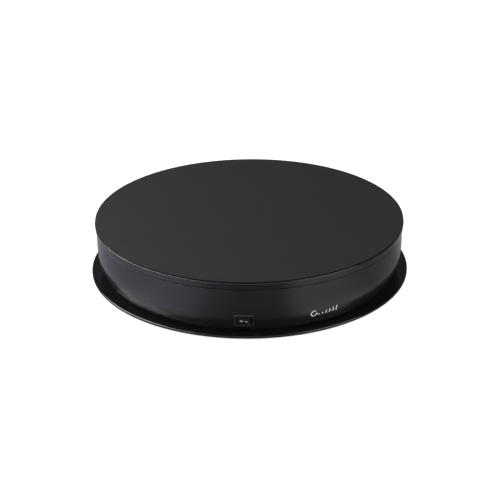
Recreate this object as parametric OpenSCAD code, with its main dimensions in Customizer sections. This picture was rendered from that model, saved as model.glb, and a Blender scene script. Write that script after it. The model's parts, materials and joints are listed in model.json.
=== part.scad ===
// Motorised turntable display stand: a round platter on a ball race, turned by a geared
// motor inside a low drum. Millimetres, +Z up, origin on the floor under the centre,
// front of the stand (with the rocker switch) towards -Y.

/* [Outer shape] */
// Diameter of the platter
platter_d = 250; // [246:1:254]
// Height from the floor to the top of the platter
height = 46; // [46:0.5:48]
// Diameter of the base plate's flange
flange_d = 258.8; // [256:0.2:264]
// Thickness of the base plate
plate_t = 2; // [2:0.1:2.4]
// Height of the rubber feet below the base plate
foot_h = 1.8; // [1.5:0.1:2]
// Depth of the platter's edge, from its top down to the seam
edge_h = 6.4; // [6:0.1:6.8]
// Open seam between the turning platter and the drum
seam = 0.5; // [0.4:0.1:0.8]
// Thickness of the top panel
panel_t = 1.2; // [1:0.1:1.4]
// Wall thickness of the drum
wall_t = 2.6; // [2:0.1:3]
// Radius of the curve that draws the drum's wall in towards its foot
bow_r = 45; // [42:1:60]

/* [Bearing] */
// Radius of the ball circle
ball_circle_r = 90; // [90:0.1:91]
// Radius of a ball
ball_r = 2.5; // [2.4:0.1:2.6]
// Number of balls
ball_count = 24; // [12:1:36]
// Radius of the centre spindle
spindle_r = 4; // [3.5:0.1:4.2]

/* [Gears] */
// Play between the flanks of meshing teeth
backlash = 0.22; // [0.2:0.01:0.26]
// Face width of the compound gear's wheel
wheel_h = 2.5; // [2.3:0.1:2.6]

/* [Switch] */
// Width of the switch's bezel
bezel_w = 15; // [15:0.1:15.4]
// Height of the switch's bezel
bezel_h = 10.5; // [10.5:0.1:10.8]
// Height of the switch's centre above the floor
switch_z = 13.85; // [13.5:0.05:14.2]
// Lean of the switch's face, top outwards
switch_lean = 14; // [12:1:16]
// How far the rocker leans each way from its middle
rocker_lean = 10; // [8:1:11]

/* [Battery compartment] */
// Diameter of a cell
cell_d = 14.2; // [13.8:0.1:14.3]
// Length of a cell without its cap
cell_l = 49; // [48.5:0.1:49.2]
// Distance between neighbouring cells
cell_pitch = 14.8; // [14.7:0.1:14.8]

/* [Hidden] */
$fn = 96;
eps = 0.01;

// Clearance between parts that move past each other, and round a running shaft
gap = 0.3;
running = 0.05;

// Levels, from the floor up
plate_z = foot_h;
plate_top = plate_z + plate_t;
panel_z = height - panel_t;
seam_top = height - edge_h;
drum_top = seam_top - seam;
deck_top = seam_top - 4.1;
deck_t = 2.5;
deck_z = deck_top - deck_t;
carrier_z = panel_z - 2.3;

// Radii
platter_r = platter_d / 2;
flange_r = flange_d / 2;
drum_r = platter_r - 1;
bow_z = seam_top - 13.6;
skirt_t = 2.2;
lip_r = drum_r - wall_t - 1;
lip_t = 2;

// Fasteners and feet
screw_r = 1.4;
screw_head_r = 2.8;
screw_head_h = 1.8;
base_screw_count = 6;
base_screw_circle_r = 104;
plate_boss_h = 3;
base_seat_z = plate_z + 3;
foot_count = 6;
foot_circle_r = 111;
foot_start = 30;
foot_r = 7;
foot_recess = 0.8;

// Posts and gussets that carry the deck inside the drum
drum_boss_r = 4;
deck_post_count = 6;
deck_post_circle_r = 88;
deck_post_r = 3.5;
rib_half_t = 0.8;
gusset_count = 12;
gusset_r = 112;
gusset_h = 6;

// Ring that centres the drum on the base plate
locating_r = [112.4, 114];
locating_h = 3;

// Ball race
race_half_w = 5.5;
ball_z = (deck_top + carrier_z) / 2;
race_gap = 0.9;
groove_r = ball_r + running;
cage_t = 1.1;
cage_half_w = 4.5;

// Centre bearing
boss_top = deck_top + 1.7;
boss_z = deck_z - 6;
boss_r = 11;
bush_z = boss_top + 0.7;
bush_h = 3.2;
bush_r = 6.5;
spindle_top = bush_z + bush_h + gap;
washer_t = 1;
washer_r = 8;
spindle_head_r = 7;
spindle_head_h = 2;
retaining_screw_r = 1.5;

// Gear train: the motor's pinion drives the compound gear's wheel, and the compound gear's
// small pinion drives the internal ring gear under the platter
ring_teeth = 98;
small_teeth = 14;
ring_module = 1.5;
wheel_teeth = 36;
motor_teeth = 12;
wheel_module = 1;
pressure = 25;
addendum = 0.8;
dedendum = 1.15;
gear_x = -(ring_teeth - small_teeth) * ring_module / 2;
shaft_x = gear_x + (wheel_teeth + motor_teeth) * wheel_module / 2;
wheel_z = deck_top + 0.4;
small_h = 2.8;
ring_z = wheel_z + wheel_h + 0.5;
ring_outer_r = 82.5;
ring_screw_circle_r = 79;
ring_screw_r = 1.25;
ring_screw_count = 6;
ring_screw_sink = 1.6;
ring_screw_head_r = 2.4;
shaft_hole_r = 5;
pin_r = 2;
shaft_r = 3;

// Motor unit, hung under the deck
gearbox_y = -7;
gearbox_r = 18.5;
gearbox_h = 14;
cover_t = 1.5;
cover_r = gearbox_r - 1.2;
can_r = 13.5;
can_h = 12.5;
can_z = deck_z - gearbox_h - can_h;
motor_screw_circle_r = 15.5;
motor_screw_angles = [0, 180, 270];
motor_screw_sink = 1.3;

// Switch
switch_sink = 0.9;
switch_y = drum_r - bow_r + sqrt(pow(bow_r, 2) - pow(bow_z - switch_z, 2)) - switch_sink;
bezel_t = 2;
bezel_corner = 1.2;
rocker_l = 10.4;
rocker_w = 7.2;
switch_body = [13.4, 9, 12];
switch_pad = [19, 14.5, 4];
rocker_opening_l = 12.2;
rocker_opening_w = 7.8;
rocker_pivot_n = 0.3;
rocker_pin_r = 0.8;
rocker_pin_l = 8.4;
rocker_mid_n = 1.7;
rocker_end_n = 2.7;
mark_x = 1.85;
mark_t = 0.15;

// Power inlet and circuit board at the rear
board_z = plate_top + 3.6;
board_t = 1.6;
board_w = 44;
board_y = [84, 115];
inlet_z = board_z + board_t + 6.5;
inlet_w = 9;
inlet_h = 11;
inlet_y = [106, 117];
nose_y = drum_r - bow_r + sqrt(pow(bow_r, 2) - pow(bow_z - inlet_z, 2)) - 0.2;
nose_r = 4.6;
socket_r = 3.15;
socket_depth = 9.5;
board_screw_spots = [[-18, 88], [18, 88], [-18, 111], [18, 111]];

// Battery compartment: cells lie along X, the door hinges at its inner end
cell_count = 4;
cell_x = 37.4;
cell_z = plate_top + 0.6 + cell_d / 2;
cap_r = 2.75;
cap_h = 1.4;
box_x = [32, 92];
box_half_w = 30;
box_t = 1.5;
box_top = plate_top + 17.6;
box_rim = 5;
box_foot_t = 1.6;
hinge_x = 30;
knuckle_r = 1.4;
hinge_z = plate_z + knuckle_r;
hinge_pin_r = 0.6;
hinge_pin_l = 65.6;
notch_r = 8;
notch_depth = 0.9;
contact = [0.5, 12, 10];
ear_y = 31.5;
door_half_w = 29.4;
door_end_x = 91.7;
spring_coils = 4;
wire_r = 0.7;

// ---------------------------------------------------------------- helpers

function unit(v) = v / norm(v);

// Catmull-Rom curve through a list of points
function curve_point(p, i, t) =
    let (a = p[max(i - 1, 0)], b = p[i], c = p[i + 1], d = p[min(i + 2, len(p) - 1)])
    0.5 * (2 * b + (c - a) * t + (2 * a - 5 * b + 4 * c - d) * pow(t, 2)
    + (3 * b - a - 3 * c + d) * pow(t, 3));

function curve(p, steps) =
    [for (i = [0:len(p) - 2]) for (k = [0:steps - 1]) curve_point(p, i, k / steps), p[len(p) - 1]];

function arc(centre, r, from, to, steps) =
    [for (i = [0:steps]) let (a = from + (to - from) * i / steps) centre + r * [cos(a), sin(a)]];

// Round tube swept along a path; ref is a direction that the path never follows
module tube(path, r, sides, ref) {
    n = len(path);
    rings = [for (i = [0:n - 1])
        let (t = unit(path[min(i + 1, n - 1)] - path[max(i - 1, 0)]),
            s = unit(cross(t, ref)), u = cross(s, t))
        for (k = [0:sides - 1])
            path[i] + r * (cos(360 * k / sides) * s + sin(360 * k / sides) * u)];
    walls = [for (i = [0:n - 2]) for (k = [0:sides - 1])
        let (a = i * sides + k, b = i * sides + (k + 1) % sides)
        [a, b, b + sides, a + sides]];
    start_cap = [for (k = [sides - 1:-1:0]) k];
    end_cap = [for (k = [0:sides - 1]) (n - 1) * sides + k];
    polyhedron(points = rings, faces = concat([start_cap], walls, [end_cap]));
}

module ring(r_in, r_out, z, h) {
    translate([0, 0, z]) difference() {
        cylinder(r = r_out, h = h);
        translate([0, 0, -1]) cylinder(r = r_in, h = h + 2);
    }
}

module rod(r, z, h) {
    translate([0, 0, z]) cylinder(r = r, h = h);
}

module block(x, y, z) {
    translate([x[0], y[0], z[0]]) cube([x[1] - x[0], y[1] - y[0], z[1] - z[0]]);
}

// Repeats its child round the Z axis
module around(count, radius, start = 0) {
    for (i = [0:count - 1]) rotate([0, 0, start + 360 * i / count]) translate([radius, 0, 0]) children();
}

// Screw with its head below (dir = 1) or above (dir = -1) its shank, the head's seat at z = 0
module screw(r, head_r, head_h, length, dir = 1) {
    mirror([0, 0, dir > 0 ? 0 : 1]) difference() {
        union() {
            cylinder(r = r, h = length);
            translate([0, 0, -head_h]) cylinder(r = head_r, h = head_h);
        }
        for (a = [0, 90]) rotate([0, 0, a])
            translate([-head_r * 0.6, -head_r * 0.13, -head_h - eps])
                cube([head_r * 1.2, head_r * 0.26, head_h * 0.55]);
    }
}

// ---------------------------------------------------------------- gear outlines

function involute(q) = tan(q) * 180 / PI - q;

// Half the angle of a tooth at radius r
function half_tooth(m, teeth, slack, r) =
    let (pitch_r = m * teeth / 2, base_r = pitch_r * cos(pressure), q = acos(min(1, base_r / r)))
    90 / teeth - slack / (2 * pitch_r) * 180 / PI + involute(pressure) - involute(q);

// Outline of a spur gear with a tooth on the +X axis; out and in are the tooth's height
// above and depth below the pitch circle
module gear_outline(m, teeth, slack, out, in) {
    pitch_r = m * teeth / 2;
    tip_r = pitch_r + out;
    root_r = pitch_r - in;
    flank_r = max(root_r, pitch_r * cos(pressure));
    steps = 5;
    flank = [for (i = [0:steps]) flank_r + (tip_r - flank_r) * i / steps];
    tooth = concat(
        [[root_r, -half_tooth(m, teeth, slack, flank_r)]],
        [for (r = flank) [r, -half_tooth(m, teeth, slack, r)]],
        [for (i = [steps:-1:0]) [flank[i], half_tooth(m, teeth, slack, flank[i])]],
        [[root_r, half_tooth(m, teeth, slack, flank_r)]]);
    polygon([for (k = [0:teeth - 1]) for (p = tooth)
        p[0] * [cos(p[1] + 360 * k / teeth), sin(p[1] + 360 * k / teeth)]]);
}

module spur(m, teeth, z, h) {
    translate([0, 0, z]) linear_extrude(h) gear_outline(m, teeth, backlash, addendum * m, dedendum * m);
}

// ---------------------------------------------------------------- drum and base

// Half section of the drum's outside, shrunk by inset
module drum_section(inset) {
    intersection() {
        translate([0, plate_top]) square([drum_r - inset, drum_top - plate_top]);
        union() {
            translate([0, bow_z]) square([drum_r, drum_top - bow_z]);
            translate([drum_r - bow_r, bow_z]) circle(r = bow_r - inset, $fn = 180);
            translate([0, plate_top]) square([drum_r - bow_r, bow_z - plate_top]);
        }
    }
}

// Moves its children to the switch: X across, Y up its face, Z out of it
module at_switch() {
    translate([0, -switch_y, switch_z]) rotate([90 + switch_lean, 0, 0]) children();
}

module base_plate() {
    edge = 0.7;
    foot_edge = 0.4;
    plate_boss_r = 5.5;
    board_post_r = 3;
    ear = [5, 3, 3.8];
    color([0.05, 0.05, 0.055]) difference() {
        union() {
            rotate_extrude() polygon(concat(
                [[0, plate_z], [flange_r - foot_edge, plate_z], [flange_r, plate_z + foot_edge]],
                arc([flange_r - edge, plate_top - edge], edge, 0, 90, 6), [[0, plate_top]]));
            ring(locating_r[0], locating_r[1], plate_top, locating_h);
            around(base_screw_count, base_screw_circle_r) rod(plate_boss_r, plate_top, plate_boss_h);
            for (s = board_screw_spots) translate([s[0], s[1], 0])
                rod(board_post_r, plate_top, board_z - plate_top);
            for (side = [-1, 1]) translate([hinge_x, side * ear_y, plate_z + ear[2] / 2])
                cube(ear, center = true);
        }
        around(base_screw_count, base_screw_circle_r) {
            rod(screw_r + 0.15, plate_z - 1, plate_t + plate_boss_h + 2);
            rod(screw_head_r + gap, plate_z - 1, base_seat_z - plate_z + 1);
        }
        around(foot_count, foot_circle_r, foot_start) rod(foot_r + 0.1, plate_z - 1, 1 + foot_recess);
        for (s = board_screw_spots) translate([s[0], s[1], 0]) rod(1, plate_top - 0.5, 10);
        block([hinge_x - knuckle_r - gap, door_end_x + gap], [-door_half_w - gap, door_half_w + gap],
            [plate_z - 1, plate_top + 1]);
        translate([hinge_x, 0, hinge_z]) rotate([90, 0, 0])
            cylinder(r = hinge_pin_r, h = 2 * ear_y + 2 * ear[1], center = true);
        for (spot = box_screw_spots()) translate([spot[0], spot[1], 0]) rod(0.8, plate_z + 0.8, 10);
        finger_notch();
    }
}

module rubber_feet() {
    color([0.09, 0.09, 0.09]) around(foot_count, foot_circle_r, foot_start) rotate_extrude() polygon([
        [0, 0], [foot_r - 0.5, 0], [foot_r, 0.5], [foot_r, foot_h + foot_recess], [0, foot_h + foot_recess]]);
}

module base_screws() {
    color([0.5, 0.5, 0.52]) around(base_screw_count, base_screw_circle_r)
        translate([0, 0, base_seat_z]) screw(screw_r, screw_head_r, screw_head_h, 12);
}

module drum_housing() {
    boss_floor = plate_top + plate_boss_h;
    color([0.1, 0.1, 0.105]) difference() {
        union() {
            rotate_extrude($fn = 180) difference() {
                drum_section(0);
                translate([0, -eps]) drum_section(wall_t);
                translate([0, deck_top]) square([drum_r - wall_t, drum_top]);
            }
            ring(spindle_r, drum_r - wall_t + eps, deck_z, deck_t);
            rod(boss_r, boss_z, boss_top - boss_z);
            around(base_screw_count, base_screw_circle_r)
                rod(drum_boss_r, boss_floor, deck_z - boss_floor + eps);
            for (i = [1:deck_post_count - 1]) rotate([0, 0, 360 * i / deck_post_count])
                translate([deck_post_circle_r, 0, 0]) rod(deck_post_r, plate_top, deck_z - plate_top + eps);
            for (i = [0:gusset_count - 1]) rotate([0, 0, (i + 0.5) * 360 / gusset_count])
                block([gusset_r, drum_r - wall_t + 0.5], [-rib_half_t, rib_half_t],
                    [deck_z - gusset_h, deck_z + eps]);
            at_switch() translate([0, 0, -switch_pad[2] / 2]) cube(switch_pad, center = true);
        }
        rod(spindle_r, boss_z - 1, 30);
        rod(spindle_head_r + gap, boss_z - 5, 5);
        around(base_screw_count, base_screw_circle_r) rod(screw_r, boss_floor - 1, 14);
        translate([shaft_x, 0, 0]) rod(shaft_hole_r, deck_z - 1, 5);
        translate([gear_x, 0, 0]) rod(pin_r, deck_z - 1, 5);
        at_motor_screws() {
            rod(screw_r, deck_z - 1, 5);
            rod(screw_head_r + 0.1, deck_top - motor_screw_sink, 3);
        }
        at_switch() {
            translate([0, 0, 5]) cube([bezel_w + 0.8, bezel_h + 0.8, 10], center = true);
            cube([switch_body[0], switch_body[1], 20], center = true);
        }
        translate([0, nose_y - 8, inlet_z]) rotate([-90, 0, 0]) cylinder(r = nose_r + 0.1, h = 12);
    }
}

module at_motor_screws() {
    for (a = motor_screw_angles) translate([shaft_x, gearbox_y, 0]) rotate([0, 0, a])
        translate([motor_screw_circle_r, 0, 0]) children();
}

// ---------------------------------------------------------------- bearing

module race(z, h) {
    difference() {
        ring(ball_circle_r - race_half_w, ball_circle_r + race_half_w, z, h);
        rotate_extrude($fn = 180) translate([ball_circle_r, ball_z]) circle(r = groove_r, $fn = 48);
    }
}

module lower_race() {
    color([0.62, 0.63, 0.65]) race(deck_top, ball_z - race_gap - deck_top);
}

module upper_race() {
    color([0.62, 0.63, 0.65]) race(ball_z + race_gap, carrier_z - ball_z - race_gap);
}

module ball_cage() {
    color([0.85, 0.84, 0.78]) difference() {
        ring(ball_circle_r - cage_half_w, ball_circle_r + cage_half_w, ball_z - cage_t / 2, cage_t);
        around(ball_count, ball_circle_r) rod(ball_r + 0.1, ball_z - 2, 4);
    }
}

module bearing_balls() {
    color([0.75, 0.76, 0.78]) around(ball_count, ball_circle_r) translate([0, 0, ball_z])
        sphere(r = ball_r, $fn = 32);
}

module centre_spindle() {
    color([0.7, 0.7, 0.72]) difference() {
        union() {
            rod(spindle_r, boss_z, spindle_top - boss_z);
            rod(spindle_head_r, boss_z - spindle_head_h, spindle_head_h);
        }
        rod(retaining_screw_r, spindle_top - 8, 9);
    }
}

module thrust_washer() {
    color([0.8, 0.7, 0.4]) ring(spindle_r + running, 9, boss_top, 0.4);
}

module retaining_washer() {
    color([0.7, 0.7, 0.72]) ring(retaining_screw_r + 0.1, washer_r, spindle_top, washer_t);
}

module retaining_screw() {
    color([0.5, 0.5, 0.52]) translate([0, 0, spindle_top + washer_t])
        screw(retaining_screw_r, 3.2, screw_head_h, washer_t + 7, -1);
}

module hub_bush() {
    color([0.8, 0.62, 0.3]) ring(spindle_r + running, bush_r, bush_z, bush_h);
}

// ---------------------------------------------------------------- platter

module top_panel() {
    edge = 0.3;
    panel_r = platter_r - 0.3;
    color([0.2, 0.2, 0.2]) rotate_extrude($fn = 180) polygon([
        [0, panel_z], [panel_r, panel_z], [panel_r, height - edge], [panel_r - edge, height], [0, height]]);
}

module platter_carrier() {
    corner = 0.6;
    lip_z = deck_top + 0.7;
    outer_ribs = 24;
    inner_ribs = 12;
    inner_rib_r = 48;
    inner_rib_h = 1.7;
    color([0.12, 0.12, 0.125]) difference() {
        union() {
            rotate_extrude($fn = 180) polygon(concat(
                [[0, carrier_z], [platter_r - skirt_t, carrier_z], [platter_r - skirt_t, seam_top],
                    [platter_r - corner, seam_top]],
                arc([platter_r - corner, panel_z - corner], corner, 0, 90, 6), [[0, panel_z]]));
            ring(lip_r - lip_t, lip_r, lip_z, carrier_z - lip_z + eps);
            for (i = [0:outer_ribs - 1]) rotate([0, 0, 360 * i / outer_ribs])
                block([ball_circle_r + race_half_w + 1, lip_r - 1], [-rib_half_t, rib_half_t],
                    [ball_z + race_gap, carrier_z + eps]);
            for (i = [0:inner_ribs - 1]) rotate([0, 0, 360 * i / inner_ribs])
                block([9, inner_rib_r], [-rib_half_t, rib_half_t],
                    [carrier_z - inner_rib_h, carrier_z + eps]);
            rod(boss_r, bush_z, carrier_z - bush_z + eps);
        }
        rod(bush_r, bush_z - 1, bush_h + 1);
        rod(washer_r + 0.6, bush_z + bush_h, 20);
        around(ring_screw_count, ring_screw_circle_r) rod(ring_screw_r, carrier_z - 1, 2.5);
    }
}

module ring_gear() {
    color([0.86, 0.85, 0.8]) difference() {
        translate([0, 0, ring_z]) linear_extrude(carrier_z - ring_z) difference() {
            circle(r = ring_outer_r, $fn = 180);
            gear_outline(ring_module, ring_teeth, -backlash, dedendum * ring_module, addendum * ring_module);
        }
        around(ring_screw_count, ring_screw_circle_r) {
            rod(ring_screw_r, ring_z - 1, 8);
            rod(ring_screw_head_r + 0.2, ring_z - 1, ring_screw_sink + 1);
        }
    }
}

module ring_gear_screws() {
    color([0.5, 0.5, 0.52]) around(ring_screw_count, ring_screw_circle_r)
        translate([0, 0, ring_z + ring_screw_sink]) screw(ring_screw_r, ring_screw_head_r, 1.4, 3.3);
}

// ---------------------------------------------------------------- drive

module compound_gear() {
    color([0.9, 0.89, 0.84]) translate([gear_x, 0, 0]) difference() {
        union() {
            spur(wheel_module, wheel_teeth, wheel_z, wheel_h);
            spur(ring_module, small_teeth, wheel_z + wheel_h - eps, small_h + eps);
        }
        rod(pin_r + running, wheel_z - 1, 10);
        for (a = [30:60:330]) rotate([0, 0, a]) translate([13.2, 0, 0]) rod(2.4, wheel_z - 1, wheel_h + 2);
    }
}

module gear_pin() {
    color([0.7, 0.7, 0.72]) translate([gear_x, 0, 0]) {
        rod(pin_r, deck_z, wheel_z + wheel_h + small_h + 0.9 - deck_z);
        rod(4, deck_top, 0.2);
    }
}

module gear_clip() {
    clip_z = wheel_z + wheel_h + small_h + 0.2;
    color([0.6, 0.6, 0.62]) translate([gear_x, 0, 0]) difference() {
        ring(pin_r, 3.8, clip_z, 0.5);
        block([0, 5], [-1.2, 1.2], [clip_z - 1, clip_z + 2]);
    }
}

module motor_pinion() {
    color([0.8, 0.65, 0.35]) translate([shaft_x, 0, 0]) difference() {
        union() {
            rotate([0, 0, 180 / motor_teeth]) spur(wheel_module, motor_teeth, wheel_z - 0.1, wheel_h + 0.2);
            rod(4.4, wheel_z + wheel_h + 0.1 - eps, 1.4);
        }
        shaft_solid();
    }
}

// Motor shaft with its flat
module shaft_solid() {
    difference() {
        rod(shaft_r, deck_z - 3, wheel_z + wheel_h + 1.5 - deck_z + 3);
        block([shaft_r - 0.5, shaft_r + 1], [-4, 4], [wheel_z - 0.1, wheel_z + 20]);
    }
}

module output_shaft() {
    color([0.7, 0.7, 0.72]) translate([shaft_x, 0, 0]) shaft_solid();
}

module gearbox_case() {
    color([0.72, 0.73, 0.74]) difference() {
        translate([shaft_x, gearbox_y, 0]) rod(gearbox_r, deck_z - gearbox_h, gearbox_h);
        translate([shaft_x, 0, 0]) rod(shaft_r + running, deck_z - 3 - running, 5);
        at_motor_screws() rod(screw_r, deck_z - 6, 8);
        translate([shaft_x, gearbox_y, 0]) rod(cover_r, deck_z - gearbox_h - 1, 1 + cover_t);
    }
}

module gearbox_cover() {
    color([0.6, 0.61, 0.62]) translate([shaft_x, gearbox_y, 0])
        rod(cover_r, deck_z - gearbox_h, cover_t);
}

module motor_can() {
    color([0.66, 0.67, 0.69]) translate([shaft_x, gearbox_y, 0]) union() {
        rod(can_r, can_z + 1, can_h - 1);
        rod(can_r - 1, can_z, 1 + eps);
        rod(shaft_r, can_z - 1, 1 + eps);
    }
}

module motor_terminals() {
    color([0.8, 0.65, 0.35]) for (side = [-1, 1]) translate([shaft_x, gearbox_y + side * 7.5, 0])
        block([-1.2, 1.2], [-0.25, 0.25], [can_z - 2.2, can_z]);
}

module motor_screws() {
    color([0.5, 0.5, 0.52]) at_motor_screws() translate([0, 0, deck_top - motor_screw_sink])
        screw(screw_r, screw_head_r, 1.2, 6, -1);
}

// ---------------------------------------------------------------- switch

module rounded_slab(w, h, corner, z, t) {
    translate([0, 0, z]) linear_extrude(t) union() {
        square([w - 2 * corner, h], center = true);
        square([w, h - 2 * corner], center = true);
        for (x = [-1, 1]) for (y = [-1, 1]) translate([x * (w / 2 - corner), y * (h / 2 - corner)])
            circle(r = corner, $fn = 32);
    }
}

module switch_housing() {
    color([0.07, 0.07, 0.075]) at_switch() difference() {
        union() {
            rounded_slab(bezel_w, bezel_h, bezel_corner, 0, bezel_t);
            translate([0, 0, (eps - switch_body[2]) / 2])
                cube(switch_body + [0, 0, eps], center = true);
        }
        cube([rocker_opening_l, rocker_opening_w, 9], center = true);
        translate([0, 0, rocker_pivot_n]) rotate([90, 0, 0])
            cylinder(r = rocker_pin_r + running, h = rocker_pin_l + 0.2, center = true);
    }
}

module switch_terminals() {
    color([0.8, 0.65, 0.35]) at_switch() for (x = [-3.5, 3.5])
        translate([x - 0.3, -1.6, -18]) cube([0.6, 3.2, 6]);
}

// Turns its children from the rocker's middle position to the position at rest
module at_rocker(lean) {
    at_switch() translate([0, 0, rocker_pivot_n]) rotate([0, lean, 0]) children();
}

// Side view of the rocker about its pivot: two faces that meet in a shallow V
module rocker_outline() {
    half = rocker_l / 2;
    polygon(concat([[-half, rocker_end_n], [0, rocker_mid_n], [half, rocker_end_n]],
        arc([0, 0], half, 0, -180, 16)));
}

module switch_rocker() {
    color([0.06, 0.06, 0.065]) at_rocker(-rocker_lean) union() {
        intersection() {
            rotate([90, 0, 0]) translate([0, 0, -rocker_w / 2]) linear_extrude(rocker_w) rocker_outline();
            translate([0, 0, 1]) cube([rocker_l + 2, rocker_w, 9], center = true);
        }
        rotate([90, 0, 0]) cylinder(r = rocker_pin_r, h = rocker_pin_l, center = true);
    }
}

// Off ring on the left face and on bar on the right face
module rocker_marks() {
    slope = atan((rocker_end_n - rocker_mid_n) / (rocker_l / 2));
    color([0.82, 0.82, 0.84]) at_rocker(-rocker_lean) {
        translate([0, 0, rocker_mid_n]) rotate([0, slope, 0]) translate([-mark_x, 0, 0]) difference() {
            cylinder(r = 0.95, h = mark_t, $fn = 32);
            translate([0, 0, -1]) cylinder(r = 0.6, h = 3, $fn = 32);
        }
        translate([0, 0, rocker_mid_n]) rotate([0, -slope, 0])
            translate([mark_x - 0.85, -0.23, 0]) cube([1.7, 0.46, mark_t]);
    }
}

// ---------------------------------------------------------------- power inlet and board

module power_inlet() {
    color([0.08, 0.08, 0.08]) difference() {
        union() {
            block([-inlet_w / 2, inlet_w / 2], inlet_y, [board_z + board_t, board_z + board_t + inlet_h]);
            translate([0, inlet_y[1] - eps, inlet_z]) rotate([-90, 0, 0])
                cylinder(r = nose_r, h = nose_y - inlet_y[1] + eps);
        }
        translate([0, nose_y - socket_depth, inlet_z]) rotate([-90, 0, 0]) cylinder(r = socket_r, h = 20);
    }
}

module inlet_pin() {
    color([0.8, 0.65, 0.35]) translate([0, nose_y - socket_depth, inlet_z]) rotate([-90, 0, 0])
        cylinder(r = 1, h = socket_depth - 1.2);
}

module circuit_board() {
    color([0.08, 0.3, 0.16]) difference() {
        block([-board_w / 2, board_w / 2], board_y, [board_z, board_z + board_t]);
        for (s = board_screw_spots) translate([s[0], s[1], 0]) rod(1.2, board_z - 1, 4);
    }
}

module board_capacitor() {
    color([0.12, 0.16, 0.32]) translate([-12, 98, 0]) union() {
        rod(3.15, board_z + board_t, 9);
        rod(3.4, board_z + board_t, 1);
    }
}

module board_regulator() {
    top = board_z + board_t;
    color([0.12, 0.12, 0.12]) {
        block([6, 14], [92, 100], [top, top + 4]);
        block([-4, 2], [90, 95], [top, top + 1.6]);
        block([15.5, 20.5], [97, 104], [top, top + 6]);
    }
}

module board_screws() {
    color([0.5, 0.5, 0.52]) for (s = board_screw_spots) translate([s[0], s[1], board_z + board_t])
        screw(1, 1.9, 1.2, 4.5, -1);
}

// ---------------------------------------------------------------- battery compartment

function box_screw_spots() = [for (x = [box_x[0] + 10, box_x[1] - 10]) for (s = [-1, 1])
    [x, s * (box_half_w + box_t + 2.4)]];

function cell_y(i) = (i - (cell_count - 1) / 2) * cell_pitch;

module battery_box() {
    color([0.11, 0.11, 0.115]) difference() {
        union() {
            block([box_x[0] - box_t, box_x[1] + box_t], [-box_half_w - box_t, box_half_w + box_t],
                [plate_top, box_top]);
            block([box_x[0] + 5, box_x[1] - 5], [-box_half_w - box_rim, box_half_w + box_rim],
                [plate_top, plate_top + box_foot_t]);
        }
        block(box_x, [-box_half_w, box_half_w], [plate_top - 1, box_top - box_t]);
        block([box_x[0] - 5, box_x[0] + 1], [-box_half_w - 10, box_half_w + 10],
            [plate_top - 1, plate_top + 2.2]);
        for (spot = box_screw_spots()) translate([spot[0], spot[1], 0]) rod(1, plate_top - 1, 4);
    }
}

module battery_box_screws() {
    color([0.5, 0.5, 0.52]) for (spot = box_screw_spots())
        translate([spot[0], spot[1], plate_top + box_foot_t]) screw(0.8, 1.8, 1.2, 2.6, -1);
}

module battery_cells() {
    color([0.3, 0.32, 0.35]) for (i = [0:cell_count - 1]) translate([0, cell_y(i), cell_z])
        cell_along_x(i % 2 == 0)
            union() {
                cylinder(d = cell_d, h = cell_l);
                translate([0, 0, cell_l - eps]) cylinder(r = cap_r, h = cap_h);
            }
}

// Lays a cell along X from cell_x; its cap faces the outer end, or the inner end when turned
module cell_along_x(capped_out) {
    if (capped_out) translate([cell_x, 0, 0]) rotate([0, 90, 0]) children();
    else translate([box_x[0] + box_x[1] - cell_x, 0, 0]) rotate([0, -90, 0]) children();
}

module battery_springs() {
    space = cell_x - box_x[0] - contact[0];
    steps = 10;
    wide_r = 5.2;
    narrow_r = 2.8;
    end_gap = 0.4;
    spring = [for (i = [0:spring_coils * steps])
        let (t = i / (spring_coils * steps), r = wide_r + (narrow_r - wide_r) * t, a = 360 * i / steps)
        [r * cos(a), r * sin(a), end_gap + (space - 2 * end_gap) * t]];
    color([0.75, 0.76, 0.78]) for (i = [0:cell_count - 1]) translate([0, cell_y(i), cell_z])
        cell_along_x(i % 2 == 0) translate([0, 0, -space]) tube(spring, 0.35, 6, [0, 0, 1]);
}

module battery_contacts() {
    color([0.75, 0.76, 0.78]) for (end = [0, 1]) for (i = [0:cell_count - 1])
        translate([end == 0 ? box_x[0] : box_x[1] - contact[0], cell_y(i) - contact[1] / 2,
            cell_z - contact[2] / 2]) cube(contact);
}

module door_hinge_pin() {
    color([0.7, 0.7, 0.72]) translate([hinge_x, 0, hinge_z]) rotate([90, 0, 0])
        cylinder(r = hinge_pin_r, h = hinge_pin_l, center = true);
}

// Round scoop that a fingertip lifts the door by, half in the door and half in the plate
module finger_notch() {
    translate([door_end_x, 0, plate_z - 3]) cylinder(r = notch_r, h = 3 + notch_depth);
}

module battery_door() {
    color([0.06, 0.06, 0.065]) difference() {
        union() {
            block([hinge_x, door_end_x], [-door_half_w, door_half_w], [plate_z, plate_top]);
            translate([hinge_x, 0, hinge_z]) rotate([90, 0, 0])
                cylinder(r = knuckle_r, h = 2 * door_half_w, center = true);
            for (i = [-1:1]) translate([0, 22 * i, 0])
                block([hinge_x + 8, door_end_x - 6], [-0.6, 0.6], [plate_top - eps, plate_top + 0.25]);
        }
        translate([hinge_x, 0, hinge_z]) rotate([90, 0, 0])
            cylinder(r = hinge_pin_r + running, h = 2 * door_half_w + 2, center = true);
        finger_notch();
    }
}

// ---------------------------------------------------------------- wiring

// Lead from end to end of a list of hand-set points
module wire(points) {
    tube(curve(points, 4), wire_r, 8, [0, 0, 1]);
}

module red_wires() {
    color([0.7, 0.06, 0.05]) {
        wire([[3.5, -101.5, 20], [4, -94, 16], [16, -84, 7], [30, -66, 5], [52, -48, 5],
            [62, -40, 6], [64, -31.6, 9]]);
        wire([[-3.5, -101.5, 20], [-6, -92, 14], [-12, -80, 6], [-24, -58, 5], [-34, -36, 5],
            [-37, -22, 5.2], [shaft_x, -15, 5.4]]);
    }
}

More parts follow.
